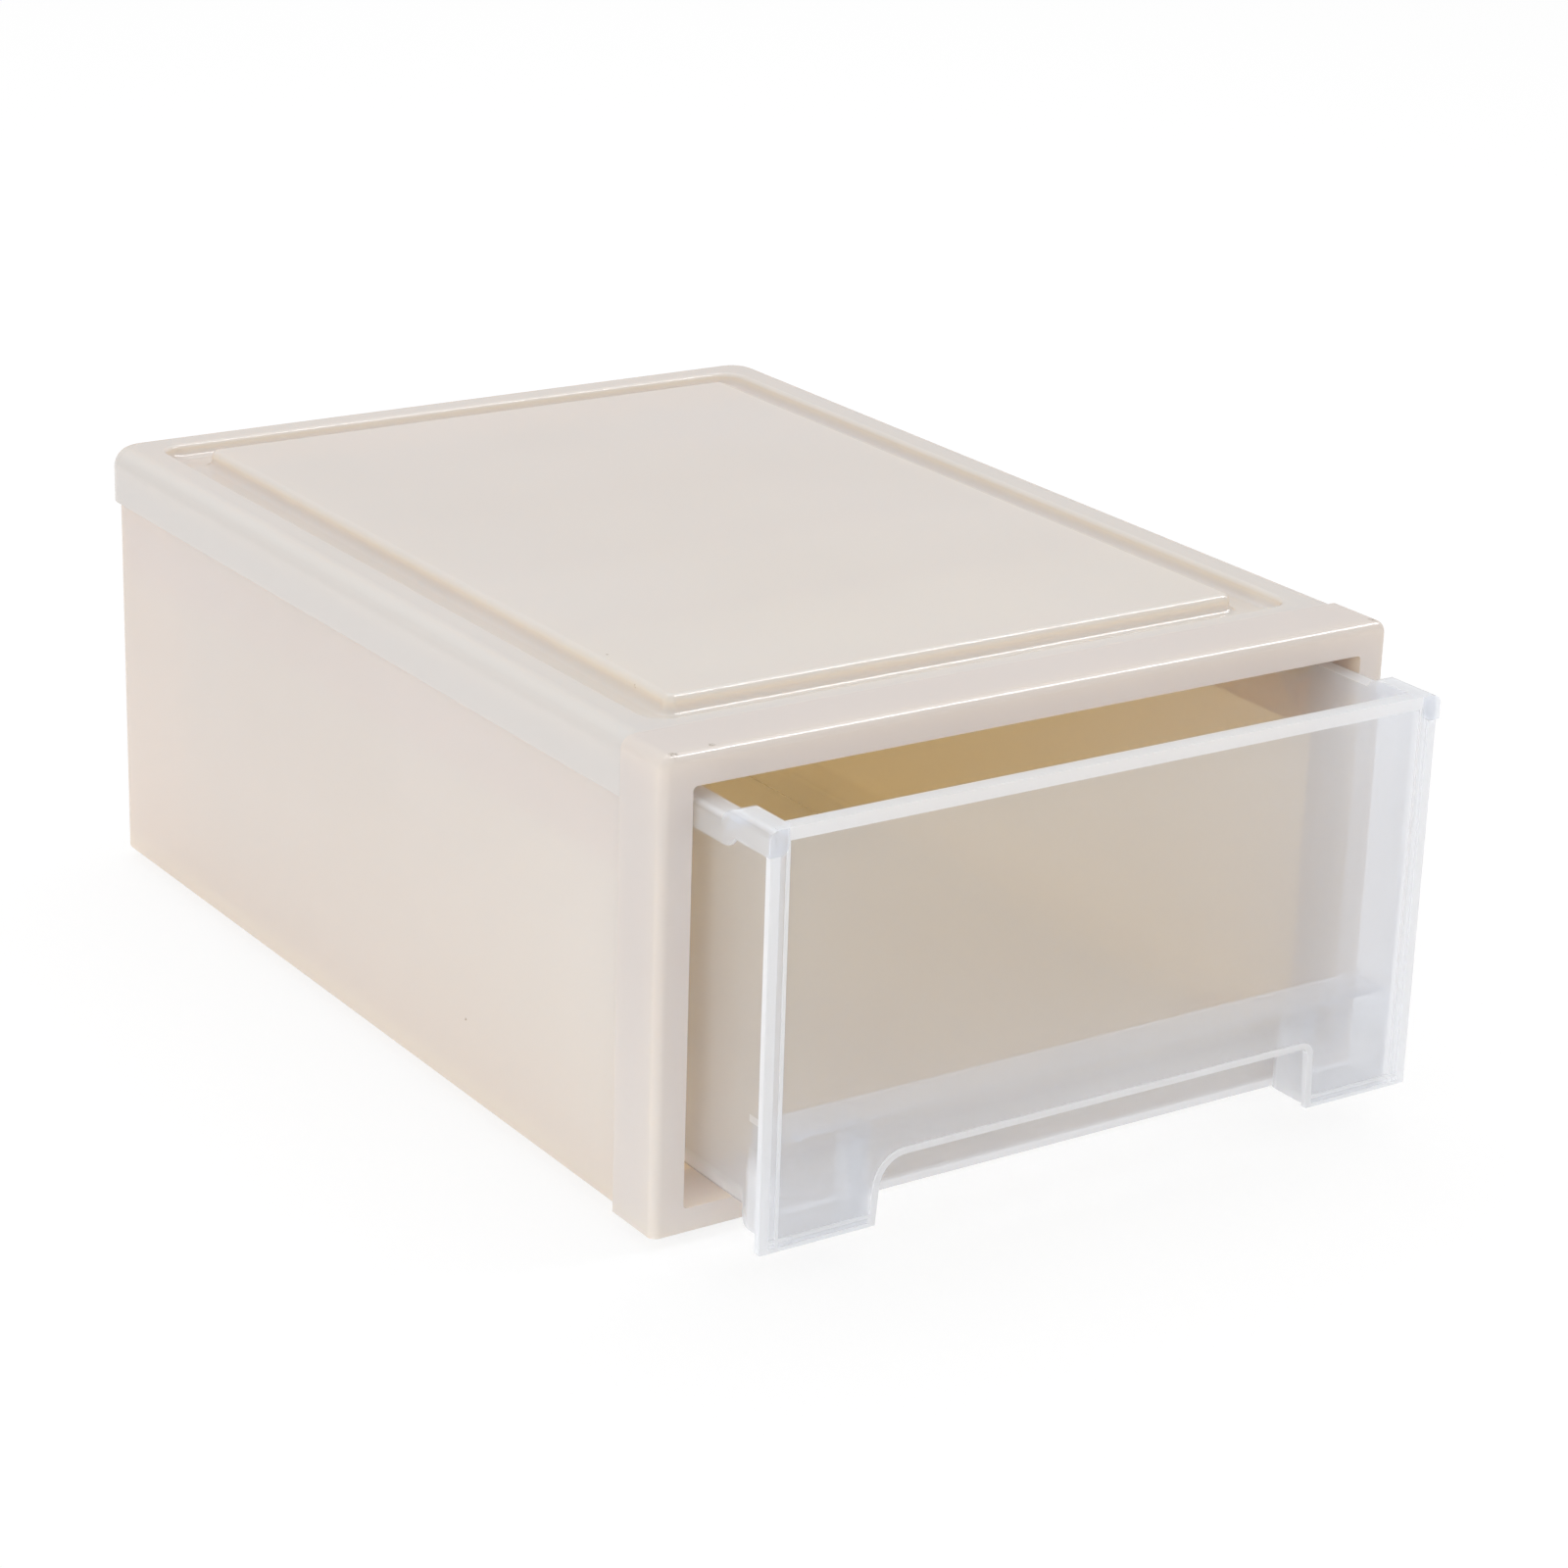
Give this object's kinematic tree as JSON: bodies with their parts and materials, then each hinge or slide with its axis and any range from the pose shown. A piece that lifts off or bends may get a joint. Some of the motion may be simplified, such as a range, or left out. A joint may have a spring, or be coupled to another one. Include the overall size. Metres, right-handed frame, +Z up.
{
  "type": "stackable drawer box",
  "caption": "Moulded storage case with a clear slide-out drawer, a finger cut-out in its front plate and a stacking groove round the top.",
  "frame": {"origin": "middle of the footprint with the drawer at rest, on the surface the feet stand on", "axes": "+X to the right seen from the front, +Y from the drawer front to the back, +Z up"},
  "size_m": [0.271, 0.4146, 0.1557],
  "materials": {
    "case_plastic": "smooth, softly glossy",
    "clear_plastic": "translucent, milky, glossy"
  },
  "bodies": {
    "case": {"case_shell": "case_plastic", "top_cover": "case_plastic", "front_frame": "case_plastic", "left_rail": "case_plastic", "right_rail": "case_plastic"},
    "drawer": {"drawer_bin": "clear_plastic", "drawer_front": "clear_plastic"}
  },
  "joints": [
    {"name": "drawer_slide", "type": "slide", "parent": "case", "child": "drawer", "axis": [0, -1, 0], "range_m": [-0.038, 0.2835]}
  ]
}
